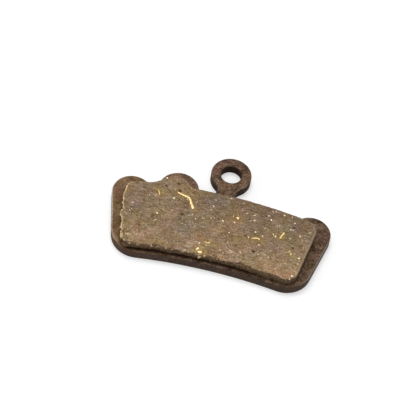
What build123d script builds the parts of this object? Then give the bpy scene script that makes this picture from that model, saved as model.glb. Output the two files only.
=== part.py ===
from build123d import *

import os
from math import asin, atan2, cos, degrees, isclose, radians, sin, sqrt

# Bicycle disc brake pad: a stamped steel backing plate with a friction block moulded onto it.
# The pad lies on its back. The origin is the retaining eyelet's axis where it meets the back face,
# +X runs along the pad, +Y points away from the wheel's axle and +Z is up through the friction face.
# Lengths are in millimetres and angles in degrees.

# Rotor that the pad is shaped for
rotor_radius = 90.0  # the block's top edge follows the rotor's rim
eyelet_rise = 6.0  # eyelet's axis above the rim

# Backing plate
plate_thickness = 2.0
plate_end_angle = 13.2  # end edges aim at the rotor's axis, this far to each side
pad_height = 14.9  # rim down to the crown of the arched lower edge
arch_radius = 94.0
plate_top_ledge = 0.5  # plate that shows above the block
plate_foot_round = 4.8
ear_radius = 3.65
ear_inset = 1.45  # ear's centre inside the rim
ear_fillet = 1.0
die_roll = 0.25  # edge rounded by the stamping, on the friction side

# Retaining eyelet
eyelet_diameter = 7.5
eyelet_bore = 3.9
neck_width = 3.4

# Locating lobe, which keeps the pad from going in the wrong way round
lobe_radius = 3.7
lobe_offset = 8.6  # to the left of the eyelet
lobe_rise = 0.05  # lobe's centre above the top of the rim
lobe_fillet = 0.8
notch_round = 1.2

# Friction block
block_thickness = 1.5
block_left_ledge = 1.7  # plate that shows at the left end, at half height
block_right_ledge = 2.2
block_foot_ledge = 0.55
block_end_lean = 9.4
block_top_round = 2.3
block_foot_round = 2.3
block_lobe_radius = 2.65
block_lobe_shift = 0.6  # to the left of the plate's lobe
block_lobe_drop = 0.85  # below the plate's lobe
block_lobe_inner_fillet = 1.9  # on the eyelet's side
block_lobe_outer_fillet = 4.5
block_edge_break = 0.12

# Keying holes, which the compound fills when it is moulded
key_diameter = 5.0
key_spacing = 17.0
key_drop = 7.5  # below the rim

rotor_axis = Vector(0, -rotor_radius - eyelet_rise)
arch_axis = Vector(0, -eyelet_rise - pad_height - arch_radius)
plate_top_radius = rotor_radius + plate_top_ledge
lobe_centre = Vector(-lobe_offset, lobe_rise - eyelet_rise)


def mirrored(point):
    """The same point on the other side of the eyelet."""
    return Vector(-point.X, point.Y)


def quarter_turn(vector):
    """The vector turned clockwise by 90 degrees."""
    return Vector(vector.Y, -vector.X)


def on_rotor(radius, angle):
    """Point at a radius from the rotor's axis, at an angle to the right of the eyelet."""
    return rotor_axis + Vector(sin(radians(angle)), cos(radians(angle))) * radius


def centre_between(a, reach_a, b, reach_b, side):
    """Point at given distances from a and b, to the left of the way from a to b where side is 1."""
    gap = b - a
    along = (gap.length**2 + reach_a**2 - reach_b**2) / (2 * gap.length)
    across = sqrt(reach_a**2 - along**2)
    direction = gap.normalized()
    return a + direction * along - quarter_turn(direction) * (across * side)


def centre_in_corner(end_point, lean, radius, hub, reach):
    """Centre of a right-hand corner round, inside a leaning end edge and at a distance from a hub."""
    up = Vector(sin(radians(lean)), cos(radians(lean)))
    start = end_point - quarter_turn(up) * radius
    back = start - hub
    along = sqrt(reach**2 - back.length**2 + back.dot(up) ** 2) - back.dot(up)
    return start + up * along


def neck_hollow():
    """Centre and radius of the hollow on the right of the neck, between the eyelet and the plate."""
    half = neck_width / 2
    eye = eyelet_diameter / 2
    drop = rotor_axis.length
    level = (plate_top_radius**2 - eye**2 - drop**2) / (2 * drop)
    climb = (plate_top_radius - eye) / drop
    linear = half + level * climb - eye
    rest = half**2 + level**2 - eye**2
    radius = (-linear - sqrt(linear**2 - climb**2 * rest)) / climb**2
    return Vector(half + radius, level + climb * radius), radius


def outline(rounds):
    """Face inside a belt laid anticlockwise round circles, with a negative radius for a hollow."""
    edges = []
    spans = []
    for (centre, radius), (next_centre, next_radius) in zip(rounds, rounds[1:] + rounds[:1]):
        gap = next_centre - centre
        step = radius - next_radius
        touching = isclose(gap.length, abs(step))
        run = 0 if touching else sqrt(gap.length**2 - step**2)
        normal = (gap * step + quarter_turn(gap) * run).normalized()
        spans.append(normal)
        if not touching:
            edges.append(Line(centre + normal * radius, next_centre + normal * next_radius))
    for (centre, radius), before, after in zip(rounds, spans[-1:] + spans[:-1], spans):
        sign = 1 if radius > 0 else -1
        start = degrees(atan2(sign * before.Y, sign * before.X))
        end = degrees(atan2(sign * after.Y, sign * after.X))
        sweep = sign * ((sign * (end - start)) % 360)
        edges.append(CenterArc(centre, abs(radius), start, sweep))
    return make_face(edges)


def plate_outline():
    ear_reach = rotor_radius - ear_inset
    ear = on_rotor(ear_reach, plate_end_angle - degrees(asin(ear_radius / ear_reach)))
    foot_reach = arch_radius + plate_foot_round
    foot = centre_in_corner(rotor_axis, plate_end_angle, plate_foot_round, arch_axis, foot_reach)
    ear_hollow = centre_between(
        ear, ear_radius + ear_fillet, rotor_axis, plate_top_radius + ear_fillet, -1
    )
    lobe_hollow = centre_between(
        lobe_centre, lobe_radius + lobe_fillet, rotor_axis, plate_top_radius + lobe_fillet, 1
    )
    notch = centre_between(
        lobe_centre, lobe_radius + notch_round, mirrored(ear), ear_radius + notch_round, -1
    )
    neck, neck_round = neck_hollow()
    return outline(
        [
            (arch_axis, -arch_radius),
            (foot, plate_foot_round),
            (ear, ear_radius),
            (ear_hollow, -ear_fillet),
            (rotor_axis, plate_top_radius),
            (neck, -neck_round),
            (Vector(0, 0), eyelet_diameter / 2),
            (mirrored(neck), -neck_round),
            (rotor_axis, plate_top_radius),
            (lobe_hollow, -lobe_fillet),
            (lobe_centre, lobe_radius),
            (notch, -notch_round),
            (mirrored(ear), ear_radius),
            (mirrored(foot), plate_foot_round),
        ]
    )


def block_corners(ledge):
    """Centres of the foot and top corner rounds at the right-hand end, a ledge inside the plate's."""
    end = on_rotor(rotor_radius - pad_height / 2, plate_end_angle) - Vector(ledge, 0)
    foot_reach = arch_radius + block_foot_ledge + block_foot_round
    top_reach = rotor_radius - block_top_round
    foot = centre_in_corner(end, block_end_lean, block_foot_round, arch_axis, foot_reach)
    top = centre_in_corner(end, block_end_lean, block_top_round, rotor_axis, top_reach)
    return foot, top


def block_lobe_hollow(lobe, fillet_radius, side):
    """Centre of the hollow where the block's lobe meets its top edge."""
    reach = block_lobe_radius + fillet_radius
    return centre_between(lobe, reach, rotor_axis, rotor_radius + fillet_radius, side)


def block_outline():
    left_foot, left_top = block_corners(block_left_ledge)
    right_foot, right_top = block_corners(block_right_ledge)
    lobe = lobe_centre - Vector(block_lobe_shift, block_lobe_drop)
    inner = block_lobe_hollow(lobe, block_lobe_inner_fillet, 1)
    outer = block_lobe_hollow(lobe, block_lobe_outer_fillet, -1)
    return outline(
        [
            (arch_axis, -arch_radius - block_foot_ledge),
            (right_foot, block_foot_round),
            (right_top, block_top_round),
            (rotor_axis, rotor_radius),
            (inner, -block_lobe_inner_fillet),
            (lobe, block_lobe_radius),
            (outer, -block_lobe_outer_fillet),
            (rotor_axis, rotor_radius),
            (mirrored(left_top), block_top_round),
            (mirrored(left_foot), block_foot_round),
        ]
    )


def key_pegs():
    """Cylinders through the plate where the compound keys into it."""
    peg = Cylinder(key_diameter / 2, plate_thickness, align=(Align.CENTER, Align.CENTER, Align.MIN))
    level = -eyelet_rise - key_drop
    return [Pos(side * key_spacing / 2, level) * peg for side in (-1, 1)]


def backing_plate():
    plate = extrude(plate_outline(), plate_thickness)
    plate -= extrude(Circle(eyelet_bore / 2), plate_thickness)
    plate = fillet(plate.faces().sort_by(Axis.Z)[-1].edges(), die_roll)
    return plate - key_pegs()


def friction_block():
    block = Pos(0, 0, plate_thickness) * extrude(block_outline(), block_thickness)
    block = chamfer(block.faces().sort_by(Axis.Z)[-1].edges(), block_edge_break)
    return block + key_pegs()


os.makedirs("parts", exist_ok=True)
export_step(backing_plate(), "parts/backing_plate.step")
export_step(friction_block(), "parts/friction_block.step")
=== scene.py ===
from math import cos, pi, radians, sin
from types import SimpleNamespace

import bmesh
import bpy
import numpy as np
import openvdb
from mathutils import Matrix, Vector
from mathutils.geometry import delaunay_2d_cdt


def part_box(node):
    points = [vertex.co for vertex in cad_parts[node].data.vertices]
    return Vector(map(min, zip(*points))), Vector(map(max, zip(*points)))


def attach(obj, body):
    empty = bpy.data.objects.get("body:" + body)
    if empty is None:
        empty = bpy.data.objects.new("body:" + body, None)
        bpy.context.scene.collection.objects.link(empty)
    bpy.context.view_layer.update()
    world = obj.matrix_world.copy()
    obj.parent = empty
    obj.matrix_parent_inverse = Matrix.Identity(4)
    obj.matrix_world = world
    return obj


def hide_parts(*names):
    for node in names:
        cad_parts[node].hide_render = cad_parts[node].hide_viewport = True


# A bicycle disc brake pad, lying on its back. Shapes are worked out in millimetres from the frame's
# own solids, and each piece is then put into the scene in metres. Where something sets in over a stretch,
# a pair of values gives where it starts and where it is full.
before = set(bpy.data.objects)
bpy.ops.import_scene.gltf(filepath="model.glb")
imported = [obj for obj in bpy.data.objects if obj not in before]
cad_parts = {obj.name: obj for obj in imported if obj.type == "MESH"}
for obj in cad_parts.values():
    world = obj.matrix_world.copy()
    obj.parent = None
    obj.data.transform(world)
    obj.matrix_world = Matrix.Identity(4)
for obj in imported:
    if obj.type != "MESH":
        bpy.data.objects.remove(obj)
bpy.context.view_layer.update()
MM = 0.001
PLATE_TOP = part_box("backing_plate")[1].z / MM
BLOCK_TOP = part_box("friction_block")[1].z / MM
BODY = "root"
SEED = 7
FINER = 2.1  # each layer of noise is this much finer than the one before it
WEAKER = 1.8  # and this much weaker

# Camera, worked out from the eyelet's ellipse and the plate's outline in the photograph
IMAGE_SIDE = 400
CAMERA_DISTANCE = 350
CAMERA_TILT = radians(52.96)
CAMERA_ROLL = radians(-9.17)
CAMERA_HEADING = radians(5.12)
PIXELS_PER_MM = 5.41
EYELET_PIXEL = Vector((230.32, 180.84))
SENSOR = 36.0
CLIP_START = 0.01  # in metres

# Friction block, sculpted as a field of distances on a grid
GRID = np.array((0.125, 0.125, 0.08))  # size of its cells
GRID_MARGIN = 3  # cells round the block
FACE_LEVEL = BLOCK_TOP - 0.07  # the ground face, below the burr and the fibres that stand proud
LEFT_END = -14  # to the left of this the side wall is the block's end
END_FACING = (0.4, 0.8)  # slopes of the block's ends
FRONT_FACING = (0.5, 0.85)  # slopes of its front
CRUMBLED_CORNER = (-15.4, -19.7)
CRUMBLED_REACH = 2.0
PEG_INSET = 0.04  # the pegs end this far inside the plate's back face

# Its side walls: size and depth of what has crumbled off them, deeper at the front and at the corner
CRUMB_SIZE = 1.1
CRUMB_DEPTH = 0.02
CRUMB_DEPTH_FRONT = 0.08
CRUMB_DEPTH_CORNER = 0.12
LUMP_SIZE = 0.5
LUMP_DEPTH_FRONT = 0.06
LUMP_DEPTH_CORNER = 0.2
WALL_INSET = 0.01
FRAY_SIZE = 0.35
FRAY_DEPTH = 0.13  # at the left end, along the burr
ROUGH_SIZE = 0.45
ROUGH_DEPTH = 0.06

# Its foot, where the compound has drawn back from the plate
FOOT_GROOVE = 0.45  # height of the gap
FOOT_DEPTH = 0.2
FOOT_SIZE = 1.6  # length of the stretches that are open or closed
DARK_FOOT = (14, 3)  # places along the pad, between which the front of the foot gets deeper and its painted shade sets in

# Its ground face: size and height of the relief
WAVE_SIZE = (4, 4)
WAVE_HEIGHT = 0.012
GROOVE_SIZE = (2.2, 0.27)  # drawn out along the pad
GROOVE_HEIGHT = 0.008
GRAIN_SIZE = 0.4
GRAIN_HEIGHT = 0.018
CORNER_SIZE = 0.24
CORNER_HEIGHT = 0.11
CORNER_DROP = 0.05
RANDOM_PITS = 220
PIT_RADII = (0.08, 0.22)
PIT_DEPTHS = (0.03, 0.11)
PIT_LENGTH = 1.4  # to its width
PIT_MARGIN = (0.25, 0.5)  # distances from the edge

# The edge of the ground face
RIM_WIDTH = 0.22
RIM_CURVE = 1.3  # power of its fall
RIM_DROP = 0.05
RIM_DROP_FRONT = 0.17
CHIPPED_SIZE = 0.8
CHIPPED_WIDTH = 0.3  # how much wider the rim is where it is chipped
ROUNDED_RIM = 0.65  # width of the rounded edge at the right
ROUNDED_DROP = 0.3
ROUNDED_FRONT = (-2, 8)  # places along the pad, where the front edge is rounded too
ROUNDED_FRONT_SHARE = 0.85
FLAKY_FRONT = (6, -4)  # places along the pad, where the front edge is flaked
TUFT_SIZE = 0.45
BURR_EDGE = (0.3, 0.12)  # distances from the left wall
BURR_HEIGHT = 0.06

# Depths below the ground face where a look sets in, and how strong it gets
FACE_FADE = (0.12, 0.08)  # the face's own marks
FLAKE_FADE = (0.4, 0.25)  # the flaked edge
WALL_FADE = (0.015, 0.07)  # the shade of the side walls
PIT_FADE = (0.04, 0.12)  # the painted shade in the pits
HOLLOW_FADE = (0.2, 0.5)  # the painted shade in the crumbled corner's hollows, as values of its noise
HOLLOW_SHARE = 0.6
RIM_HIGHLIGHT_FADE = (0.15, 0.75)  # the painted highlight along the rounded right edge, as shares of its width
RIM_HIGHLIGHT_SHARE = 0.6
CRUMB_FADE = (-0.12, -0.03)  # the pale crumbs, as distances inside them, negative outside
CRUMB_SHARE = 0.7
FLAKED_RIM = (0, 0.5)  # the flakes, as shares of the rim's width
FLAKED_LUMPS = (0.45, 0.75)  # and as values of the lumps' noise

# Shades of the compound, each with the value of the noise where it stands, and its other colours
PLAIN = (1.0, 1.0, 1.0)
COMPOUND_SHADES = (
    (0.34, (0.085, 0.05, 0.021)),
    (0.44, (0.192, 0.127, 0.068)),
    (0.5, (0.252, 0.17, 0.1)),
    (0.58, (0.335, 0.24, 0.155)),
    (0.68, (0.54, 0.43, 0.3)),
)
COMPOUND_TINTS = (  # size of the noise, and the tints where it is low and high
    (1.5, (0.98, 0.998, 1.06), (1.02, 1.0, 0.925)),
    (4.0, (0.975, 0.998, 1.06), (1.025, 0.998, 0.925)),
    (2.7, (1.02, 0.972, 1.03), (0.98, 1.02, 0.96)),
)
BACK_TO_FRONT = (-8.0, -20.0)  # places across the pad, where the face gets paler
LEFT_TO_RIGHT = (-14.0, 12.0)  # places along the pad, where that gets stronger
PALER_FRONT = (0.2, 0.75)  # how strong it is there
FRONT_TONES = ((0.0, (0.68, 0.69, 0.72)), (0.5, PLAIN), (1.0, (1.36, 1.33, 1.27)))
COOL_TINT = (0.88, 0.92, 1.0)
WARM_TINT = (1.1, 1.045, 0.99)
BRASS_TINT = (1.09, 1.05, 0.66)
STREAK_STRETCH = (0.42, 1.25, 1)  # draws the streaks out along the pad
PALE_FLECK = (0.6, 0.5, 0.36)
DARK_FLECK = (0.1, 0.064, 0.034)
# colour of the painted highlight on the rounded right edge
RIM_HIGHLIGHT_COLOUR = (0.4, 0.3, 0.205)
# colour of the painted shade in the pits and the corner's hollows
PIT_SHADE_COLOUR = (0.078, 0.039, 0.012)
WALL_COLOURS = ((0.063, 0.038, 0.02), (0.215, 0.138, 0.081))
WORN_COLOURS = ((0.42, 0.29, 0.145), (0.92, 0.75, 0.47))
# colour of the painted shade in the gap at the foot
FOOT_SHADE_COLOUR = (0.055, 0.026, 0.008)
COMPOUND_GLOSS = 0.06

# Pixels of the photograph where the front edge is chipped, where it is sound, where pale crumbs stick
# to it and where crumbs of the corner lie on the plate, each with a radius. A pale crumb's last value is
# how far below the face it is.
EDGE_CHIPS = (
    (128.5, 242.4, 0.3), (155, 246.4, 0.45), (160.5, 247.6, 0.4), (171, 249.2, 0.3), (196, 255, 0.45),
    (215.5, 259, 0.4), (240.5, 264.4, 0.4), (248.5, 267.2, 0.4), (268, 273.6, 0.3),
)
CHIP_LENGTH = 1.8  # to its height
SOUND_SPOTS = ((202, 256, 1.1), (185, 251.5, 0.9), (224, 261, 0.8))
PALE_CRUMBS = (
    (198.5, 257.6, 0.19, 0.66), (200.2, 256.6, 0.17, 0.5), (204.4, 256.4, 0.16, 0.12),
    (182.6, 251.2, 0.15, 0.2), (184.4, 250.4, 0.15, 0.08), (188.4, 251.6, 0.12, 0.1),
)
CORNER_CRUMBS = (
    (122.9, 243.2, 0.3), (124.6, 244.8, 0.36), (126.6, 245.2, 0.34), (123.8, 241.4, 0.3), (129, 245.8, 0.28),
    (132, 246.2, 0.24),
)

# Pixels of the greyer patches of the face and of the warmer ones, each with a reach, and of its darkest
# pits, each with a depth
COOL_PATCHES = ((135, 208, 2.4), (182, 228, 2.0), (218, 201, 2.2), (287, 243, 2.4))
WARM_PATCHES = ((176, 184, 3.2), (150, 237, 2.6), (278, 268, 3.0))
DARK_PIT_RADIUS = 0.23
DARK_PITS = (
    (152, 216.2, 0.13), (139, 224.2, 0.15), (166.6, 185.5, 0.2), (179, 183.6, 0.2), (187, 183.3, 0.2),
    (180.3, 190.7, 0.2), (182.3, 214, 0.2), (253.6, 251.3, 0.25), (292.8, 247.8, 0.16), (294, 227.8, 0.2),
)

# Pixels along the burr at the left of the face
BURR_LINE = (
    (126.7, 184.2), (125.9, 187.3), (123.4, 193.2), (123, 200.1), (122.4, 202.6), (123.2, 207.7),
    (120.5, 211.5), (120, 213.9), (121.4, 216), (121.6, 221.3), (120.2, 225.6), (121, 229.4),
    (120.5, 235.5), (120.5, 238),
)

# Brass fibres, with the pixels along each that stands out in the photograph
FIBRE_CROWN = 0.06  # how far they stand out of the face
FIBRE_BED = 0.025  # how far the compound is ground away beside them
BED_EDGE = (0.7, 0.35)  # distances from a fibre
HOOKED_FIBRE = (
    (178, 192.2), (184, 195.2), (188.4, 196.8), (190, 199), (191.2, 203), (192.6, 206.4), (193.6, 208.4),
)
SHORT_FIBRE = ((158.5, 189.5), (159.5, 192.5), (160, 195))
LEVEL_FIBRE = ((251.6, 238.5), (255, 237.8), (258.4, 238.4), (260, 239.6))
SLANTED_FIBRE = ((280, 238.2), (282, 235.6), (284.2, 232.8))
CURLED_FIBRE = ((204.5, 241.5), (207, 243), (210, 242.5))
TWIN_FIBRE_BACK = ((196.2, 249.6), (197.2, 248.6), (198.4, 247.6))
TWIN_FIBRE_FRONT = ((198, 251.4), (199.6, 251.9), (201.6, 252))
FAINT_FIBRE = ((288.6, 251), (290, 253), (291.6, 255))
STUBBY_FIBRE = ((236.8, 217.2), (238, 218.2), (239, 219.2))
PHOTO_FIBRES = (  # radius at the first tip, radius from the middle on, and pixels
    (0.22, 0.7, HOOKED_FIBRE),
    (0.1, 0.17, SHORT_FIBRE),
    (0.12, 0.18, LEVEL_FIBRE),
    (0.34, 0.3, SLANTED_FIBRE),
    (0.06, 0.13, CURLED_FIBRE),
    (0.5, 0.5, TWIN_FIBRE_BACK),
    (0.5, 0.5, TWIN_FIBRE_FRONT),
    (0.04, 0.05, FAINT_FIBRE),
    (0.3, 0.3, STUBBY_FIBRE),
)
FIBRE_SHADES = ((0.36, (0.49, 0.345, 0.165)), (0.5, (0.55, 0.4, 0.21)), (0.62, (0.6, 0.455, 0.27)))

# Brass specks: the ends of fibres, with pixels and a radius for those that stand out in the photograph
SPECK_HALVES = (0.08, 0.2)  # half their length
SPRINKLED_SPECKS = 110
SPRINKLED_RADII = (0.035, 0.06)
SPRINKLED_HALVES = (0.05, 0.3)
SPARSE_LEFT = -7  # to the left of this half as many are sprinkled
SPECK_MARGIN = 0.5  # how far inside the block's edge they are sprinkled
SPECK_SHADES = ((0.36, (0.52, 0.41, 0.28)), (0.5, (0.7, 0.57, 0.4)), (0.62, (0.82, 0.71, 0.54)))
PHOTO_SPECKS = (
    (157.3, 213, 0.13), (174, 198, 0.17), (167.5, 178, 0.15), (230.5, 250.5, 0.14), (238, 218, 0.34),
    (234.5, 222.5, 0.18), (255.5, 232.2, 0.28), (275.5, 236.5, 0.24), (223, 221, 0.09), (299, 258.5, 0.2),
    (291, 254.5, 0.11), (292, 276, 0.15), (289.5, 279, 0.15), (295, 223.5, 0.15), (300, 236.5, 0.12),
    (231.2, 198.5, 0.12), (216, 200, 0.14), (247, 213.5, 0.12), (254.5, 220.5, 0.13), (269, 216, 0.1),
    (195.6, 218.8, 0.08), (214.2, 218, 0.1), (213.8, 206.3, 0.1), (194.8, 226.6, 0.08), (206.4, 245.6, 0.09),
    (237.9, 255.3, 0.1), (243.8, 203.6, 0.08), (229, 232.4, 0.09), (199, 243.3, 0.1), (248.4, 237.3, 0.1),
    (262.9, 236.1, 0.1), (258.7, 245, 0.1), (273.4, 234.2, 0.1), (290.9, 229.9, 0.08), (289, 251.7, 0.06),
    (297.6, 264.1, 0.1), (271.5, 220.2, 0.08), (257.9, 254.4, 0.09), (268.4, 257.1, 0.07),
)

# Golden tint of the compound round the brass and along the burr
SMEAR_REACH = 0.7  # to both sides of a fibre or of the burr
SPECK_SMEAR = 2.5  # the same, to a speck's radius
SPECK_SHARE = 0.35  # how strong it is round a speck
BURR_SHARE = 0.5  # how strong it is along the burr

# Backing plate
PLATE_SPACING = 0.2
CAP_SPACING = 0.25
WALL_STEP = 0.15
DIE_ROLL = 0.25
ROLL_STEPS = 6
BACK_EDGE = 0.05
BACK_STEPS = 4
WEAR_AND_HIGHLIGHT_ENDS = (15, 17)  # distances from the middle, where the rolled edge is worn pale and painted with a highlight
LEAST_WEAR_AND_HIGHLIGHT = 0.1  # share that is worn and highlighted there in any case
LEFT_WEAR_AND_HIGHLIGHT = (0.7, 0.97)  # slopes at the left, worn and highlighted most
RIGHT_WEAR_AND_HIGHLIGHT = (0.6, 0.95)  # slopes at the right
RIGHT_WEAR_AND_HIGHLIGHT_SHARE = 0.35
WEAR_AND_HIGHLIGHT_SPOT = (2.3, -2.4)  # on the eyelet's rolled edge, worn and with a painted highlight
WEAR_AND_HIGHLIGHT_SPOT_FADE = (2.0, 0.8)
WEAR_AND_HIGHLIGHT_SPOT_SHARE = 0.4
SHADED_REACH = 6  # of the walls with painted shade, from the eyelet's axis
BORE_SHADE = 0.9
NECK_SHADE = 0.65
SHEARED = 0.8  # how much of the sheared steel shows on the side walls
SHADOWED_FACING = (0.5, 0.85)  # slopes of the block's side, where the plate beside it gets painted shadow
FRONT_SHADOW_FADE = (0.5, 0.25)  # distances from the block's front, over which its painted shadow on the plate fades
LEFT_SHADOW_FADE = (0.35, 0.0)  # and from its left
LEFT_SHADOW_SHARE = 0.8

# Depths below the plate's face, in die rolls, where a look of its edge sets in
ROLL_FROM_WALL = (1.3, 0.9)
ROLL_FROM_FACE = (0, 0.15)
SHEARED_FADE = (0.5, 1.5)
WALL_SHADE_FADE = (0.5, 2)
SHADOW_ON_TOP_FADE = (0.5, 0)

# Shades of the plate's coat, in the same way, and its other colours
COAT_SHADES = ((0.39, (0.048, 0.027, 0.012)), (0.5, (0.105, 0.064, 0.037)), (0.61, (0.178, 0.118, 0.073)))
LEFT_COAT_SHADES = ((0.4, (0.17, 0.092, 0.034)), (0.6, (0.35, 0.22, 0.112)))
LEFT_COAT = (-17.5, -6.0)  # places along the pad, past the paler and calmer coat of the left end
CALM_GRAIN = ((0.28, (0.62, 0.54, 0.42)), (0.5, (0.97, 0.97, 0.97)), (0.72, (1.4, 1.5, 1.7)))
ROUGH_GRAIN = ((0.28, (0.37, 0.29, 0.215)), (0.5, (0.95, 0.95, 0.95)), (0.72, (1.7, 1.88, 2.07)))
RUST = (0.13, 0.07, 0.05)
RED_COAT = (0.192, 0.1, 0.069)
PALE_COAT = (0.18, 0.108, 0.06)
DARK_COAT = (0.1, 0.06, 0.032)
DARK_RED_COAT = (0.125, 0.066, 0.046)
COAT_PATCHES = (
    (RED_COAT, (-18.9, -9.4)),
    (RED_COAT, (-6.6, -3.9)),
    (RED_COAT, (-3.3, 0.6)),
    (PALE_COAT, (2.9, -0.3)),
    (PALE_COAT, (-0.2, -3.2)),
    (DARK_RED_COAT, (19.2, -9.6)),
    (DARK_COAT, (17.3, -15.4)),
    (DARK_COAT, (16.8, -19.2)),
)
PATCH_UNIT = 10.0  # distances from a patch's middle are ramped over this
PATCH_FADE = ((0.05, 0.6), (0.25, 0.0))
SPOT_COLOUR = (0.03, 0.019, 0.011)
SPOTTED_RIGHT = (9.0, 15.0)  # places along the pad, where there are more dark spots
# colour of the painted shadow on the plate beside the block's left end
LEFT_SHADOW_COLOUR = (0.13, 0.064, 0.02)
WORN_AND_HIGHLIT_STEEL = (0.5, 0.43, 0.35)
SIDE_COLOURS = ((0.06, 0.04, 0.031), (0.11, 0.074, 0.058))
# colours of the painted shade on the eyelet's walls and in front of the block's foot
PAINTED_SHADE_COLOURS = ((0.014, 0.005, 0.001), (0.042, 0.022, 0.011))
COAT_GLOSS = 0.05

# Stage, in metres: each lamp's name, place, size and power
LAMPS = (
    ("key", (-0.1, 0.2, 0.7), 0.5, 3.4),
    ("side", (-0.6, -0.05, 0.3), 0.3, 1),
    ("fill", (0.4, -0.4, 0.5), 0.6, 1),
)
AMBIENT = 0.3
FLOOR_REACH = 3
FLOOR_COLOUR = (0.6, 0.6, 0.6, 1)
FLOOR_GLOW = 0.45


# Fields and outlines


def smoothstep(low, high, value):
    """A share that goes smoothly from 0 at low to 1 at high, whichever of them is larger."""
    share = np.clip((value - low) / (high - low), 0, 1)
    return share * share * (3 - 2 * share)


def smooth_noise(rng, axes, sizes):
    """Random values every so often along each axis of a grid, blended smoothly in between."""
    field = rng.uniform(-1, 1, [int(np.ptp(axis) / size) + 3 for axis, size in zip(axes, sizes)])
    for number, (axis, size) in enumerate(zip(axes, sizes)):
        place = (axis - axis[0]) / size + rng.uniform(0, 1)
        cell = place.astype(int)
        share = smoothstep(0, 1, place - cell)
        share = share.reshape([-1 if k == number else 1 for k in range(len(axes))])
        low = np.take(field, cell, axis=number)
        high = np.take(field, cell + 1, axis=number)
        field = low + (high - low) * share
    return field


def layered_noise(rng, axes, size, layers=2):
    """Noise with finer and weaker layers added to it."""
    total = 0
    for layer in range(layers):
        fine = size / FINER**layer
        total = total + smooth_noise(rng, axes, [fine] * len(axes)) / WEAKER**layer
    return total


def patchy(rng, axes, size, cover=0, strength=1, layers=2):
    """A share that varies at random, and is larger on the whole where cover is larger."""
    return np.clip(cover + strength * layered_noise(rng, axes, size, layers), 0, 1)


def section(node, height):
    """Closed outlines of a node's solid at a height, each anticlockwise, the largest first."""
    cut = bmesh.new()
    cut.from_mesh(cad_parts[node].data)
    bmesh.ops.remove_doubles(cut, verts=cut.verts, dist=1e-7)
    bmesh.ops.bisect_plane(
        cut,
        geom=cut.verts[:] + cut.edges[:] + cut.faces[:],
        plane_co=(0, 0, height * MM),
        plane_no=(0, 0, 1),
        clear_inner=True,
        clear_outer=True,
    )
    loops = []
    waiting = set(cut.verts)
    while waiting:
        corner = max(waiting, key=lambda vert: tuple(vert.co))
        waiting.discard(corner)
        loop = [corner.co.xy / MM]
        while True:
            following = [e.other_vert(corner) for e in corner.link_edges if e.other_vert(corner) in waiting]
            if not following:
                break
            corner = following[0]
            waiting.discard(corner)
            loop.append(corner.co.xy / MM)
        loops.append(anticlockwise(np.array(loop)))
    cut.free()
    return sorted(loops, key=lambda loop: -abs(area(loop)))


def area(loop):
    x, y = loop.T
    return (x * np.roll(y, -1) - y * np.roll(x, -1)).sum() / 2


def anticlockwise(loop):
    return loop if area(loop) > 0 else loop[::-1]


def even(loop, spacing):
    """The outline with evenly spaced points, its facets smoothed."""
    closed = np.vstack([loop, loop[:1]])
    along = np.concatenate([[0], np.cumsum(np.hypot(*np.diff(closed, axis=0).T))])
    stops = np.linspace(0, along[-1], int(along[-1] / spacing), endpoint=False)
    points = np.column_stack([np.interp(stops, along, closed[:, k]) for k in (0, 1)])
    for _ in range(2):
        points = (np.roll(points, 1, 0) + 2 * points + np.roll(points, -1, 0)) / 4
    return points


def outward(loop):
    """Unit normals that point out of an anticlockwise outline."""
    along = np.roll(loop, -1, 0) - np.roll(loop, 1, 0)
    along /= np.hypot(*along.T)[:, None]
    return np.column_stack([along[:, 1], -along[:, 0]])


def signed_distance(loop, x, y):
    """Distance to an outline at each point of a grid, negative inside."""
    x, y = np.meshgrid(x, y, indexing="ij")
    reach = np.full(x.shape, np.inf)
    inside = np.zeros(x.shape, bool)
    for (ax, ay), (bx, by) in zip(loop, np.roll(loop, -1, 0)):
        ux, uy = bx - ax, by - ay
        share = np.clip(((x - ax) * ux + (y - ay) * uy) / (ux * ux + uy * uy), 0, 1)
        reach = np.minimum(reach, np.hypot(x - ax - share * ux, y - ay - share * uy))
        if ay != by:
            inside ^= ((ay > y) != (by > y)) & (x < ax + ux * (y - ay) / uy)
    return np.where(inside, -reach, reach)


def sampled(field, x, y, points):
    """Values of a grid at points, blended between its cells."""
    place_x = np.clip((points[:, 0] - x[0]) / (x[1] - x[0]), 0, len(x) - 1.001)
    place_y = np.clip((points[:, 1] - y[0]) / (y[1] - y[0]), 0, len(y) - 1.001)
    column, row = place_x.astype(int), place_y.astype(int)
    across, along = place_x - column, place_y - row
    low = field[column, row] * (1 - across) + field[column + 1, row] * across
    high = field[column, row + 1] * (1 - across) + field[column + 1, row + 1] * across
    return low * (1 - along) + high * along


# Objects


def new_object(name, data):
    """An object of the scene."""
    added = bpy.data.objects.new(name, data)
    bpy.context.scene.collection.objects.link(added)
    return added


def new_piece(name, points, faces, material, node=None):
    """A mesh piece from points in millimetres, which stands for a node where one is named."""
    mesh = bpy.data.meshes.new(name)
    mesh.from_pydata((np.asarray(points) * MM).tolist(), [], faces)
    mesh.shade_smooth()
    mesh.materials.append(material)
    piece = new_object(name, mesh)
    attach(piece, BODY)
    if node:
        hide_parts(node)
    return piece


def paint(piece, name, values):
    """Store a value at each point of a piece for its material."""
    layer = piece.data.attributes.new(name, "FLOAT", "POINT")
    layer.data.foreach_set("value", np.asarray(values, np.float32))


# Camera


def look_axes():
    """The camera's right, down and forward directions."""
    level = Vector((1, 0, 0))
    forward = Vector((0, cos(CAMERA_TILT), -sin(CAMERA_TILT)))
    steep = forward.cross(level)
    right = cos(CAMERA_ROLL) * level + sin(CAMERA_ROLL) * steep
    down = cos(CAMERA_ROLL) * steep - sin(CAMERA_ROLL) * level
    turn = Matrix.Rotation(CAMERA_HEADING, 3, "Z")
    return turn @ right, turn @ down, turn @ forward


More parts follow.
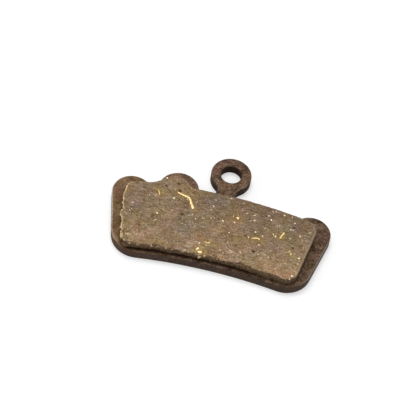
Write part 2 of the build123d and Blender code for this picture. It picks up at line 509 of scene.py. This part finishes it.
def camera_place():
    right, down, forward = look_axes()
    middle = Vector((IMAGE_SIDE / 2, IMAGE_SIDE / 2))
    offset = (EYELET_PIXEL - middle) / PIXELS_PER_MM
    return -(right * offset.x + down * offset.y + forward * CAMERA_DISTANCE)


def on_face(pixel, height=FACE_LEVEL):
    """The point of the friction face, or of another level, that a pixel of the photograph shows."""
    right, down, forward = look_axes()
    focal = PIXELS_PER_MM * CAMERA_DISTANCE
    half = IMAGE_SIDE / 2
    ray = right * ((pixel[0] - half) / focal) + down * ((pixel[1] - half) / focal) + forward
    place = camera_place()
    return place + ray * ((height - place.z) / ray.z)


def add_camera():
    right, down, forward = look_axes()
    data = bpy.data.cameras.new("camera")
    data.sensor_width = SENSOR
    data.lens = PIXELS_PER_MM * CAMERA_DISTANCE * SENSOR / IMAGE_SIDE
    data.clip_start = CLIP_START
    camera = new_object("camera", data)
    axes = Matrix((right, -down, -forward)).transposed()
    camera.matrix_world = Matrix.Translation(camera_place() * MM) @ axes.to_4x4()
    bpy.context.scene.camera = camera


# Shader nodes


def set_inputs(tree, node, inputs):
    """Set a node's inputs, or link them where a socket is given."""
    for name, value in inputs.items():
        if isinstance(value, bpy.types.NodeSocket):
            tree.links.new(value, node.inputs[name])
        else:
            node.inputs[name].default_value = value


def add_node(tree, kind, inputs=None, **settings):
    node = tree.nodes.new("ShaderNode" + kind)
    for name, value in settings.items():
        setattr(node, name, value)
    set_inputs(tree, node, inputs or {})
    return node


def new_material(name):
    material = bpy.data.materials.new(name)
    material.use_nodes = True
    return material, material.node_tree, material.node_tree.nodes["Principled BSDF"]


def millimetres(tree, stretch=(1, 1, 1)):
    """Places on the piece in millimetres, closed up or drawn out along the axes."""
    place = add_node(tree, "TexCoord").outputs["Object"]
    scale = Vector(stretch) / MM
    return add_node(tree, "Mapping", {"Vector": place, "Scale": scale}).outputs[0]


def noise(tree, place, size, detail=2.0, roughness=0.5):
    inputs = {"Vector": place, "Scale": 1 / size, "Detail": detail, "Roughness": roughness}
    return add_node(tree, "TexNoise", inputs).outputs["Fac"]


def ramp(tree, value, stops):
    """Colours, or shares as greys, between the values where they stand."""
    node = add_node(tree, "ValToRGB", {"Fac": value})
    while len(node.color_ramp.elements) < len(stops):
        node.color_ramp.elements.new(0.5)
    for element, (position, colour) in zip(node.color_ramp.elements, stops):
        element.position = position
        element.color = (*colour, 1) if isinstance(colour, tuple) else (colour, colour, colour, 1)
    return node.outputs["Color"]


def mix(tree, share, a, b, blend="MIX"):
    """A share of colour b over colour a, each given as a colour or a socket."""
    a, b = [(*colour, 1) if isinstance(colour, tuple) else colour for colour in (a, b)]
    inputs = {0: share, 6: a, 7: b}
    return add_node(tree, "Mix", inputs, data_type="RGBA", blend_type=blend).outputs[2]


def tinted(tree, share, colour, tint):
    return mix(tree, share, colour, tint, "MULTIPLY")


def maths(tree, operation, a, b, clamp=False):
    return add_node(tree, "Math", {0: a, 1: b}, operation=operation, use_clamp=clamp).outputs[0]


def weighted(tree, *parts):
    """Sum of values, each times its weight."""
    total = 0.0
    for value, weight in parts:
        total = maths(tree, "ADD", total, maths(tree, "MULTIPLY", value, weight))
    return total


def between(tree, value, start, end, low=0.0, high=1.0):
    """A value that goes evenly from low to high while another goes from start to end."""
    inputs = {"Value": value, "From Min": start, "From Max": end, "To Min": low, "To Max": high}
    return add_node(tree, "MapRange", inputs).outputs[0]


def painted(tree, name):
    return add_node(tree, "Attribute", attribute_name=name).outputs["Fac"]


def flecks(tree, place, spacing, size):
    """Round flecks at some of the cells of a loose pattern."""
    cells = add_node(tree, "TexVoronoi", {"Vector": place, "Scale": 1 / spacing})
    near = ramp(tree, cells.outputs["Distance"], [(0.5 * size / spacing, 1.0), (size / spacing, 0.0)])
    some = add_node(tree, "SeparateColor", {"Color": cells.outputs["Color"]}).outputs[0]
    return maths(tree, "MULTIPLY", near, ramp(tree, some, [(0.78, 0.0), (0.97, 0.8)]), True)


def bumps(tree, relief, strength, height):
    inputs = {"Height": relief, "Strength": strength, "Distance": height * MM}
    return add_node(tree, "Bump", inputs).outputs[0]


# Materials


def compound_material():
    """Ground resin compound: mottled tan, streaked along the pad, grainy and flecked."""
    material, tree, shader = new_material("friction_compound")
    place = millimetres(tree)
    drawn = millimetres(tree, STREAK_STRETCH)
    grain = noise(tree, place, size=0.25, roughness=0.6)
    colour = mottled_compound(tree, place, drawn, grain)
    colour = tinted(tree, 1.0, colour, paler_front(tree, place))
    for name, tint in (("cool", COOL_TINT), ("warm", WARM_TINT), ("smear", BRASS_TINT)):
        colour = tinted(tree, painted(tree, name), colour, tint)
    colour = mix(tree, flecks(tree, place, spacing=0.7, size=0.13), colour, PALE_FLECK)
    colour = mix(tree, flecks(tree, drawn, spacing=0.5, size=0.16), colour, DARK_FLECK)
    coarse = ramp(tree, grain, [(0.33, 0.0), (0.67, 1.0)])
    layers = {
        # painted highlight on the rounded right edge
        "rim": RIM_HIGHLIGHT_COLOUR,
        # painted shade in the pits and the corner's hollows
        "pit_shade": PIT_SHADE_COLOUR,
        "wall": mix(tree, coarse, *WALL_COLOURS),
        # painted shade in the gap at the foot
        "foot": FOOT_SHADE_COLOUR,
        "worn": mix(tree, coarse, *WORN_COLOURS),
    }
    for name, layer in layers.items():
        colour = mix(tree, painted(tree, name), colour, layer)
    fine = noise(tree, place, size=0.12, detail=3, roughness=0.7)
    looks = {
        "Base Color": colour,
        "Roughness": ramp(tree, grain, [(0.3, 0.95), (0.7, 0.75)]),
        "Normal": bumps(tree, fine, strength=0.6, height=0.03),
        "Specular IOR Level": COMPOUND_GLOSS,
    }
    set_inputs(tree, shader, looks)
    return material


def mottled_compound(tree, place, drawn, grain):
    """The compound's shades, with faint tints of several sizes over them."""
    streaks = noise(tree, drawn, size=0.5, detail=3, roughness=0.6)
    patches = noise(tree, place, size=2.2, detail=3, roughness=0.55)
    shade = weighted(tree, (grain, 0.46), (streaks, 0.34), (patches, 0.2))
    colour = ramp(tree, shade, COMPOUND_SHADES)
    for size, low_tint, high_tint in COMPOUND_TINTS:
        stops = [(0.36, low_tint), (0.5, PLAIN), (0.64, high_tint)]
        colour = tinted(tree, 1.0, colour, ramp(tree, noise(tree, place, size, detail=1), stops))
    return colour


def paler_front(tree, place):
    """Tones that pale toward the front of the face, most of all at its right."""
    spot = add_node(tree, "SeparateXYZ", {"Vector": place}).outputs
    toward_front = between(tree, spot["Y"], *BACK_TO_FRONT, -0.5, 0.5)
    strength = between(tree, spot["X"], *LEFT_TO_RIGHT, *PALER_FRONT)
    nearness = maths(tree, "ADD", 0.5, maths(tree, "MULTIPLY", toward_front, strength))
    return ramp(tree, nearness, FRONT_TONES)


def steel_material():
    """Thin brown bonding coat on stamped steel, mottled, with its rolled edge worn pale and painted with a
    highlight at the ends.
    """
    material, tree, shader = new_material("coated_steel")
    place = millimetres(tree)
    along = add_node(tree, "SeparateXYZ", {"Vector": place}).outputs["X"]
    past_left = between(tree, along, *LEFT_COAT)
    patches = noise(tree, place, size=1.5, detail=3, roughness=0.55)
    grain = noise(tree, place, size=0.3, roughness=0.6)
    specks = noise(tree, place, size=0.5)
    colour = mottled_coat(tree, place, patches, past_left)
    tones = [ramp(tree, grain, stops) for stops in (CALM_GRAIN, ROUGH_GRAIN)]
    colour = tinted(tree, 1.0, colour, mix(tree, past_left, *tones))
    spots = weighted(tree, (specks, 1.0), (between(tree, along, *SPOTTED_RIGHT), 0.06))
    colour = mix(tree, ramp(tree, spots, [(0.62, 0.0), (0.71, 0.75)]), colour, SPOT_COLOUR)
    # painted shadow on the plate beside the block's left end
    colour = mix(tree, painted(tree, "left_shadow"), colour, LEFT_SHADOW_COLOUR)
    # the pale rolled edge: worn coat and a painted highlight
    edge_patches = ramp(tree, specks, [(0.3, 0.15), (0.55, 1.0)])
    worn = maths(tree, "MULTIPLY", painted(tree, "edge"), edge_patches, True)
    colour = mix(tree, worn, colour, WORN_AND_HIGHLIT_STEEL)
    colour = mix(tree, painted(tree, "side"), colour, mix(tree, grain, *SIDE_COLOURS))
    # painted shade on the eyelet's walls and in front of the block's foot
    colour = mix(tree, painted(tree, "painted_shade"), colour, mix(tree, patches, *PAINTED_SHADE_COLOURS))
    looks = {
        "Base Color": colour,
        "Roughness": ramp(tree, grain, [(0.3, 0.75), (0.7, 0.5)]),
        "Normal": bumps(tree, grain, strength=0.5, height=0.04),
        "Specular IOR Level": COAT_GLOSS,
    }
    set_inputs(tree, shader, looks)
    return material


def mottled_coat(tree, place, patches, past_left):
    """The coat's shades: rusty here and there, paler at the left end, and in patches of their own colour."""
    colour = ramp(tree, patches, COAT_SHADES)
    rusty = ramp(tree, noise(tree, place, size=1.9), [(0.47, 0.0), (0.62, 0.65)])
    colour = mix(tree, rusty, colour, RUST)
    left_coat = ramp(tree, noise(tree, place, size=2.4), LEFT_COAT_SHADES)
    colour = mix(tree, past_left, mix(tree, 0.5, colour, left_coat), colour)
    for patch, middle in COAT_PATCHES:
        measured = {0: place, 1: (*middle, PLATE_TOP)}
        off = add_node(tree, "VectorMath", measured, operation="DISTANCE").outputs["Value"]
        share = ramp(tree, maths(tree, "DIVIDE", off, PATCH_UNIT), PATCH_FADE)
        colour = mix(tree, share, colour, patch)
    return colour


def brass_material(name, shades):
    """Cut brass wire, bright where it was ground and dull in its scratches."""
    material, tree, shader = new_material(name)
    place = millimetres(tree)
    scratches = noise(tree, place, size=0.15)
    colour = ramp(tree, noise(tree, place, size=1.1, detail=1), shades)
    colour = tinted(tree, 1.0, colour, ramp(tree, scratches, [(0.3, 0.85), (0.7, 1.05)]))
    roughness = ramp(tree, scratches, [(0.3, 0.55), (0.7, 0.35)])
    set_inputs(tree, shader, {"Base Color": colour, "Roughness": roughness, "Metallic": 1.0})
    return material


# Friction block


def friction_block(material):
    block = new_block()
    crumble_walls(block)
    grind_face(block)
    points, faces = meshed(sculpted(block), block.axes)
    piece = new_piece("friction_compound", points, faces, material, "friction_block")
    paint_block(piece, points, block)


def block_outline():
    """Outline of the block's solid at half its height above the plate."""
    return section("friction_block", (PLATE_TOP + BLOCK_TOP) / 2)[0]


def block_axes(outline):
    """Places of the grid's points along each axis."""
    margin = GRID_MARGIN * GRID
    low = np.array((*outline.min(0), 0)) - margin
    high = np.array((*outline.max(0), BLOCK_TOP)) + margin
    return [np.arange(*ends) for ends in zip(low, high, GRID)]


def new_block():
    """The block's grid, with how much each of its columns is at a side, at the crumbled corner or sound."""
    block = SimpleNamespace(rng=np.random.default_rng(SEED), outline=block_outline())
    block.axes = block_axes(block.outline)
    x, y, _ = block.axes
    block.distance = signed_distance(block.outline, x, y)
    slope_x, slope_y = np.gradient(block.distance, x, y)
    block.left = smoothstep(*END_FACING, -slope_x) * at_left_end(x)
    block.right = smoothstep(*END_FACING, slope_x)
    block.front = smoothstep(*FRONT_FACING, -slope_y)
    off_corner = np.hypot(x[:, None] - CRUMBLED_CORNER[0], y[None, :] - CRUMBLED_CORNER[1])
    block.corner = smoothstep(CRUMBLED_REACH, 0.3 * CRUMBLED_REACH, off_corner)
    block.sound = 1 - near_pixels(x, y, SOUND_SPOTS)
    return block


def at_left_end(x):
    """1 at the block's left end and 0 along the rest of the pad."""
    return smoothstep(LEFT_END + 1, LEFT_END, x)[:, None]


def foot_shade(x):
    """How deep the groove at the front of the foot is, and how strong its painted shade, along the pad."""
    return smoothstep(*DARK_FOOT, x)[:, None]


def burr_inset(outline, y):
    """How far inside the outline the burr at the left runs, at each row of the grid."""
    places = [on_face(pixel) for pixel in reversed(BURR_LINE)]
    insets = [-signed_distance(outline, np.array([place.x]), np.array([place.y]))[0, 0] for place in places]
    return np.interp(y, [place.y for place in places], insets)


def near_pixels(x, y, spots):
    """1 at each pixel's place on the face, fading over its reach."""
    share = np.zeros((len(x), len(y)))
    for *pixel, reach in spots:
        middle = on_face(pixel)
        off = np.hypot(x[:, None] - middle.x, y[None, :] - middle.y)
        share = np.maximum(share, np.exp(-((off / reach) ** 2)))
    return share


def off_lines(x, y, lines):
    """Distance to the nearest of some lines of pixels on the face, at each point of a grid."""
    off = np.full((len(x), len(y)), np.inf)
    for pixels in lines:
        line = np.array([on_face(pixel).xy for pixel in pixels])
        there_and_back = np.vstack([line, line[-2:0:-1]])
        off = np.minimum(off, signed_distance(there_and_back, x, y))
    return off


def off_ball(axes, middle, length=1):
    """Distance from a point at each place of a grid, shortened along the pad."""
    x, y, z = axes
    flat = np.hypot((x[:, None] - middle.x) / length, y[None, :] - middle.y)
    return np.hypot(flat[:, :, None], z - middle.z)


def crumble_walls(block):
    """The side walls: crumbled, most of all at the left and along the front, and drawn back at the foot."""
    x, y, z = block.axes
    rng, left, front, corner = block.rng, block.left, block.front, block.corner
    crumbs = patchy(rng, (x, y), CRUMB_SIZE, cover=0.1, layers=3)
    block.lumps = patchy(rng, (x, y), LUMP_SIZE, cover=0.2)
    crumb_depth = CRUMB_DEPTH + CRUMB_DEPTH_FRONT * front + CRUMB_DEPTH_CORNER * corner
    lump_depth = LUMP_DEPTH_FRONT * front + LUMP_DEPTH_CORNER * corner
    ragged = WALL_INSET + block.sound * (crumb_depth * crumbs + lump_depth * block.lumps)
    frayed = FRAY_DEPTH * layered_noise(rng, (x, y), FRAY_SIZE)
    block.ragged = ragged + left * (burr_inset(block.outline, y) + frayed)

    strength = 0.3 + 0.7 * np.maximum(front, left)
    block.rough = ROUGH_DEPTH * layered_noise(rng, (x, y, z), ROUGH_SIZE) * strength[:, :, None]
    block.drawn = patchy(rng, (x, y), FOOT_SIZE, cover=0.65, strength=0.6)
    open_foot = FOOT_DEPTH * block.drawn * (0.2 + 0.8 * front * foot_shade(x))
    lift = z - PLATE_TOP
    groove = open_foot[:, :, None] * smoothstep(FOOT_GROOVE, 0.5 * FOOT_GROOVE, lift)
    standing = (block.distance + block.ragged)[:, :, None]
    block.walls = standing + block.rough * smoothstep(0, FOOT_GROOVE, lift) + groove


def face_pits(rng, x, y, inside):
    """Depth of the small pits that the grinding tore out of the face."""
    spots = [(*on_face(pixel).xy, DARK_PIT_RADIUS, deep) for *pixel, deep in DARK_PITS]
    for _ in range(RANDOM_PITS):
        spot = rng.uniform(x[0], x[-1]), rng.uniform(y[0], y[-1])
        spots.append((*spot, rng.uniform(*PIT_RADII), rng.uniform(*PIT_DEPTHS)))
    depth = np.zeros((len(x), len(y)))
    for spot_x, spot_y, radius, deep in spots:
        reach = ((x[:, None] - spot_x) / (PIT_LENGTH * radius)) ** 2 + ((y[None, :] - spot_y) / radius) ** 2
        depth = np.maximum(depth, deep * np.exp(-reach))
    return depth * smoothstep(*PIT_MARGIN, inside)


def grind_face(block):
    """The ground face: it waves a little, is grooved along the pad, pitted, and chipped at its edges."""
    x, y, _ = block.axes
    rng, left, front, corner = block.rng, block.left, block.front, block.corner
    inside = -block.distance
    waves = WAVE_HEIGHT * smooth_noise(rng, (x, y), WAVE_SIZE)
    grooves = GROOVE_HEIGHT * smooth_noise(rng, (x, y), GROOVE_SIZE)
    grain = GRAIN_HEIGHT * layered_noise(rng, (x, y), GRAIN_SIZE)
    block.pits = face_pits(rng, x, y, inside)
    block.off_fibres = off_lines(x, y, [pixels for _, _, pixels in PHOTO_FIBRES])
    bed = FIBRE_BED * smoothstep(*BED_EDGE, block.off_fibres)

    chipped = patchy(rng, (x, y), CHIPPED_SIZE)
    edge = inside - block.ragged
    block.rim = np.clip(1 - edge / (RIM_WIDTH + CHIPPED_WIDTH * chipped * block.sound), 0, 1)
    rounded_front = ROUNDED_FRONT_SHARE * front * smoothstep(*ROUNDED_FRONT, x)[:, None]
    rounding = np.maximum(block.right, rounded_front)
    block.rounded = rounding * np.clip(1 - edge / ROUNDED_RIM, 0, 1)
    tufts = patchy(rng, (x, y), TUFT_SIZE, cover=1, strength=0.7)
    block.burr = left * tufts * smoothstep(*BURR_EDGE, edge)
    block.crumbled = corner * layered_noise(rng, (x, y), CORNER_SIZE)

    ground = FACE_LEVEL + waves + grooves + grain - block.pits - bed
    ground = ground - CORNER_DROP * corner + CORNER_HEIGHT * block.crumbled + BURR_HEIGHT * block.burr
    ground = ground - ROUNDED_DROP * (1 - np.sqrt(1 - block.rounded**2))
    block.ground = np.minimum(ground, BLOCK_TOP)
    broken = (1 - left) * (0.2 + 0.8 * block.sound) * block.rim**RIM_CURVE
    block.level = block.ground - broken * (RIM_DROP + RIM_DROP_FRONT * front)


def inside_pale_crumbs(block):
    """How far inside one of the pale crumbs each point of the grid is, negative outside."""
    inside = np.full(block.walls.shape, -1.0)
    for *pixel, radius, low in PALE_CRUMBS:
        middle = on_face(pixel, FACE_LEVEL - low)
        inside = np.maximum(inside, radius + block.rough - off_ball(block.axes, middle))
    return inside


def sculpted(block):
    """Distance to the block's surface at each point of the grid, negative inside."""
    x, y, z = block.axes
    field = np.maximum(block.walls, z - block.level[:, :, None])
    for *pixel, radius in EDGE_CHIPS:
        off_chip = off_ball(block.axes, on_face(pixel), CHIP_LENGTH)
        field = np.maximum(field, radius + 2 * block.rough - off_chip)
    field = np.minimum(field, -inside_pale_crumbs(block))
    for *pixel, radius in CORNER_CRUMBS:
        off_crumb = off_ball(block.axes, on_face(pixel, PLATE_TOP + radius))
        field = np.minimum(field, off_crumb - radius - 2 * block.rough)
    field = np.maximum(field, PLATE_TOP - z)
    for peg in section("friction_block", PLATE_TOP / 2):
        off_peg = signed_distance(peg, x, y)[:, :, None]
        off_ends = np.maximum(z - PLATE_TOP - GRID[2], PEG_INSET - z + 0.4 * block.rough)
        field = np.minimum(field, np.maximum(off_peg, off_ends))
    return field


def meshed(field, axes):
    """Points and faces of the surface that a field of distances stands for."""
    grid = openvdb.FloatGrid(1.0)
    grid.copyFromArray(field.astype(np.float32))
    cells, faces = grid.convertToQuads(isovalue=0.0)
    points = cells * GRID + [axis[0] for axis in axes]
    points[:, 2] = np.clip(points[:, 2], 0, BLOCK_TOP)
    return points, faces.tolist()


def golden(block):
    """How golden the compound is: beside the fibres, round the larger specks and along the burr."""
    x, y, _ = block.axes
    beside_fibre = np.exp(-((block.off_fibres / SMEAR_REACH) ** 2))
    specks = [(*pixel, SPECK_SMEAR * radius) for *pixel, radius in PHOTO_SPECKS]
    round_speck = SPECK_SHARE * near_pixels(x, y, specks)
    along_burr = BURR_SHARE * np.exp(-((off_lines(x, y, [BURR_LINE]) / SMEAR_REACH) ** 2))
    return np.maximum(np.maximum(beside_fibre, round_speck), along_burr)


def paint_block(piece, points, block):
    """Store where the compound is tinted, where its pits and its drawn-back foot get painted shade, where
    its rounded edge gets a painted highlight, and where it is broken off or worn.
    """
    x, y, _ = block.axes

    def at_points(field):
        return sampled(field, x, y, points)

    front, crumbled = block.front, block.crumbled
    height = points[:, 2]
    drop = at_points(block.ground) - height
    marked = smoothstep(*FACE_FADE, drop)
    for name, spots in (("cool", COOL_PATCHES), ("warm", WARM_PATCHES)):
        paint(piece, name, at_points(near_pixels(x, y, spots)))
    paint(piece, "smear", at_points(golden(block)))
    # painted shade in the pits and in the crumbled corner's hollows
    hollows = HOLLOW_SHARE * smoothstep(*HOLLOW_FADE, -crumbled)
    pit_shading = np.maximum(smoothstep(*PIT_FADE, block.pits), hollows)
    paint(piece, "pit_shade", at_points(pit_shading) * marked)
    # painted highlight along the rounded edge at the right
    bright = at_points(block.right * smoothstep(*RIM_HIGHLIGHT_FADE, block.rounded))
    paint(piece, "rim", RIM_HIGHLIGHT_SHARE * bright * marked)
    paint(piece, "wall", smoothstep(*WALL_FADE, drop))

    # painted shade in the gap at the foot, strongest at its front
    sunken = at_points(FOOT_GROOVE * (0.25 + 0.4 * block.drawn))
    at_foot = smoothstep(1.15 * sunken, 0.8 * sunken, height - PLATE_TOP)
    at_foot *= height > PLATE_TOP - GRID[2]
    paint(piece, "foot", at_foot * (0.2 + 0.7 * at_points(front * foot_shade(x))))

    flaky = front * smoothstep(*FLAKY_FRONT, x)[:, None]
    flaking = flaky * smoothstep(*FLAKED_RIM, block.rim) * smoothstep(*FLAKED_LUMPS, block.lumps)
    flaked = np.clip(block.burr + 1.1 * crumbled + flaking, 0, 1)
    flaked_top = at_points(flaked) * smoothstep(*FLAKE_FADE, drop)
    cells = np.rint((points - [axis[0] for axis in block.axes]) / GRID).astype(int)
    crumb = CRUMB_SHARE * smoothstep(*CRUMB_FADE, inside_pale_crumbs(block)[tuple(cells.T)])
    paint(piece, "worn", np.maximum(flaked_top, crumb))


# Brass fibres and specks


def add_fibre(curve, places, tip, radius):
    """A cut wire along the face, sunk to its crown, and tapered from its middle to its first tip."""
    spline = curve.splines.new("NURBS")
    spline.points.add(len(places) - 1)
    for number, (point, place) in enumerate(zip(spline.points, places)):
        point.radius = tip + (radius - tip) * min(1, 2 * number / (len(places) - 1))
        point.co = (place[0] * MM, place[1] * MM, (FACE_LEVEL + FIBRE_CROWN - point.radius) * MM, 1)
    spline.order_u = 3
    spline.use_endpoint_u = True


def new_wires(name, material):
    """A curve whose lines are round wires."""
    curve = bpy.data.curves.new(name, "CURVE")
    curve.dimensions = "3D"
    curve.bevel_depth = MM
    curve.bevel_resolution = 2
    curve.use_fill_caps = True
    curve.materials.append(material)
    return curve


def wire_piece(curve):
    piece = new_object(curve.name, curve)
    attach(piece, BODY)


def brass_fibres(material):
    curve = new_wires("brass_fibres", material)
    for tip, radius, pixels in PHOTO_FIBRES:
        add_fibre(curve, [on_face(pixel) for pixel in pixels], tip, radius)
    wire_piece(curve)


def add_speck(curve, rng, middle, radius, half):
    """A short wire that lies any way round."""
    turn = rng.uniform(0, pi)
    reach = np.array((cos(turn), sin(turn))) * half
    add_fibre(curve, [middle - reach, middle, middle + reach], radius, radius)


def brass_specks(material):
    curve = new_wires("brass_specks", material)
    rng = np.random.default_rng(SEED)
    outline = block_outline()
    for *pixel, radius in PHOTO_SPECKS:
        add_speck(curve, rng, np.array(on_face(pixel).xy), radius, rng.uniform(*SPECK_HALVES))
    for number, place in enumerate(rng.uniform(outline.min(0), outline.max(0), (SPRINKLED_SPECKS, 2))):
        left_out = place[0] < SPARSE_LEFT and number % 2
        if left_out or signed_distance(outline, place[:1], place[1:])[0, 0] > -SPECK_MARGIN:
            continue
        add_speck(curve, rng, place, rng.uniform(*SPRINKLED_RADII), rng.uniform(*SPRINKLED_HALVES))
    wire_piece(curve)


# Backing plate


def backing_plate(material):
    outer, *holes = section("backing_plate", PLATE_TOP / 2)
    bore = min(holes, key=lambda hole: np.hypot(*hole.mean(0)))
    points, faces, edge, painted_shade, side = [], [], [], [], []
    back_rims, front_rims = [], []
    for loop in (outer, *holes):
        straight = not (loop is outer or loop is bore)
        profile = [(0, 0), (0, PLATE_TOP)] if straight else edge_profile()
        ring = even(loop, PLATE_SPACING)
        inward = -outward(ring) if loop is outer else outward(ring)
        count = len(ring)
        first = len(points)
        # rolled edge worn pale and painted with a highlight
        worn = worn_and_highlit_edge(ring, inward) if loop is outer else np.zeros(count)
        # painted shade on the walls of the bore and the neck
        darkness = BORE_SHADE if loop is bore else NECK_SHADE
        shading = darkness * smoothstep(SHADED_REACH, 0.8 * SHADED_REACH, np.hypot(*ring.T))
        for inset, height in profile:
            points += [(*place, height) for place in ring + inward * inset]
            rolls = (PLATE_TOP - height) / DIE_ROLL
            edge += list(smoothstep(*ROLL_FROM_WALL, rolls) * smoothstep(*ROLL_FROM_FACE, rolls) * worn)
            side += [SHEARED * smoothstep(*SHEARED_FADE, rolls)] * count
            painted_shade += list(shading * smoothstep(*WALL_SHADE_FADE, rolls))
        faces += ring_faces(first, count, len(profile), loop is outer)
        back_rims.append(list(range(first, first + count)))
        front_rims.append(list(range(len(points) - count, len(points))))
    for rims, facing in ((back_rims, -1), (front_rims, 1)):
        faces += cap(points, rims, facing)
    piece = new_piece("coated_plate", points, faces, material, "backing_plate")
    filling = [0] * (len(points) - len(edge))
    paint(piece, "edge", edge + filling)
    paint(piece, "side", side + filling)
    # painted shadow on the plate along the block's foot
    at_front, at_left = foot_shadows(np.array(points))
    paint(piece, "painted_shade", np.maximum(painted_shade + filling, at_front))
    paint(piece, "left_shadow", at_left)


def edge_profile():
    """Distance inside the outline and height, from the back edge round to the rolled front edge."""
    back_turns = np.linspace(0, pi / 2, BACK_STEPS)
    back = [(BACK_EDGE * (1 - sin(t)), BACK_EDGE * (1 - cos(t))) for t in back_turns]
    heights = np.arange(BACK_EDGE + WALL_STEP, PLATE_TOP - DIE_ROLL - BACK_EDGE, WALL_STEP)
    wall = [(0, height) for height in heights]
    roll_turns = np.linspace(0, pi / 2, ROLL_STEPS)
    roll = [(DIE_ROLL * (1 - cos(t)), PLATE_TOP - DIE_ROLL * (1 - sin(t))) for t in roll_turns]
    return back + wall + roll


def worn_and_highlit_edge(ring, inward):
    """How much of the rolled edge is worn pale and painted with a highlight, round the plate's outline."""
    ends = smoothstep(*LEFT_WEAR_AND_HIGHLIGHT, inward[:, 0]) + RIGHT_WEAR_AND_HIGHLIGHT_SHARE * smoothstep(*RIGHT_WEAR_AND_HIGHLIGHT, -inward[:, 0])
    ends = (LEAST_WEAR_AND_HIGHLIGHT + ends) * smoothstep(*WEAR_AND_HIGHLIGHT_ENDS, abs(ring[:, 0]))
    off_spot = np.hypot(*(ring - WEAR_AND_HIGHLIGHT_SPOT).T)
    return ends + WEAR_AND_HIGHLIGHT_SPOT_SHARE * smoothstep(*WEAR_AND_HIGHLIGHT_SPOT_FADE, off_spot)


def ring_faces(first, count, rows, outside):
    """Faces of a wall between rows of points, seen from outside its outline or from within."""
    faces = []
    for row in range(rows - 1):
        for k in range(count):
            a = first + row * count + k
            b = first + row * count + (k + 1) % count
            quad = (a, b, b + count, a + count)
            faces.append(quad if outside else quad[::-1])
    return faces


def cap(points, rims, facing):
    """Faces of even size between level rims. The points that fill them are added to the points."""
    rim_points = [k for rim in rims for k in rim]
    flat = [Vector(points[k][:2]) for k in rim_points]
    height = points[rim_points[0]][2]
    ends = zip(np.min(flat, axis=0), np.max(flat, axis=0))
    grid_x, grid_y = [np.arange(low, high, CAP_SPACING) for low, high in ends]
    outlines = [np.array([points[k][:2] for k in rim]) for rim in rims]
    depth = -signed_distance(outlines[0], grid_x, grid_y)
    for hole in outlines[1:]:
        depth = np.minimum(depth, signed_distance(hole, grid_x, grid_y))
    filling = [Vector((grid_x[i], grid_y[j])) for i, j in zip(*np.nonzero(depth > 0.6 * CAP_SPACING))]
    borders = []
    start = 0
    for rim in rims:
        borders.append(list(range(start, start + len(rim))))
        start += len(rim)
    inside_with_holes = 2
    filled = delaunay_2d_cdt(flat + filling, [], borders, inside_with_holes, 1e-6)
    places, _, triangles, origins, _, _ = filled
    numbers = []
    for place, origin in zip(places, origins):
        if origin and origin[0] < len(rim_points):
            numbers.append(rim_points[origin[0]])
        else:
            numbers.append(len(points))
            points.append((*place, height))
    return [tuple(numbers[k] for k in triangle[::facing]) for triangle in triangles]


def foot_shadows(points):
    """Shares of painted shadow on the plate along the front of the block's foot and along its left, at each
    point.
    """
    outline = block_outline()
    x, y, _ = block_axes(outline)
    gap = signed_distance(outline, x, y)
    slope_x, slope_y = np.gradient(gap, x, y)
    front = smoothstep(*SHADOWED_FACING, -slope_y)
    left = smoothstep(*SHADOWED_FACING, -slope_x) * at_left_end(x)
    at_front = (0.25 + 0.6 * foot_shade(x)) * front * smoothstep(*FRONT_SHADOW_FADE, gap)
    at_left = LEFT_SHADOW_SHARE * left * smoothstep(*LEFT_SHADOW_FADE, gap)
    on_top = smoothstep(*SHADOW_ON_TOP_FADE, (PLATE_TOP - points[:, 2]) / DIE_ROLL)
    return [sampled(share, x, y, points) * on_top for share in (at_front, at_left)]


# Stage


def area_light(name, place, size, power):
    data = bpy.data.lights.new(name, "AREA")
    data.shape = "DISK"
    data.size = size
    data.energy = power
    lamp = new_object(name, data)
    lamp.location = place
    lamp.rotation_euler = (-Vector(place)).to_track_quat("-Z", "Y").to_euler()


def seen_directly(tree):
    """1 for what the camera, a mirror or a glass sees, and 0 for the light on the object."""
    path = add_node(tree, "LightPath").outputs
    mirrored = maths(tree, "MAXIMUM", path["Is Glossy Ray"], path["Is Transmission Ray"])
    return maths(tree, "MAXIMUM", path["Is Camera Ray"], mirrored)


def add_floor():
    mesh = bpy.data.meshes.new("floor")
    corners = [(x * FLOOR_REACH, y * FLOOR_REACH, 0) for x, y in ((-1, -1), (1, -1), (1, 1), (-1, 1))]
    mesh.from_pydata(corners, [], [(0, 1, 2, 3)])
    material, tree, _ = new_material("white_floor")
    tree.nodes.clear()
    cloth = add_node(tree, "BsdfDiffuse", {"Color": FLOOR_COLOUR})
    strength = maths(tree, "MULTIPLY", seen_directly(tree), FLOOR_GLOW)
    glow = add_node(tree, "Emission", {"Strength": strength})
    both = add_node(tree, "AddShader", {0: cloth.outputs[0], 1: glow.outputs[0]})
    add_node(tree, "OutputMaterial", {"Surface": both.outputs[0]})
    mesh.materials.append(material)
    floor = new_object("floor", mesh)


def add_world():
    world = bpy.data.worlds.new("world")
    world.use_nodes = True
    tree = world.node_tree
    strength = maths(tree, "MAXIMUM", seen_directly(tree), AMBIENT)
    set_inputs(tree, tree.nodes["Background"], {"Color": (1, 1, 1, 1), "Strength": strength})
    bpy.context.scene.world = world


friction_block(compound_material())
brass_fibres(brass_material("brass_fibre", FIBRE_SHADES))
brass_specks(brass_material("brass_speck", SPECK_SHADES))
backing_plate(steel_material())
add_floor()
add_world()
for lamp in LAMPS:
    area_light(*lamp)
add_camera()
bpy.context.scene.view_settings.view_transform = "Standard"
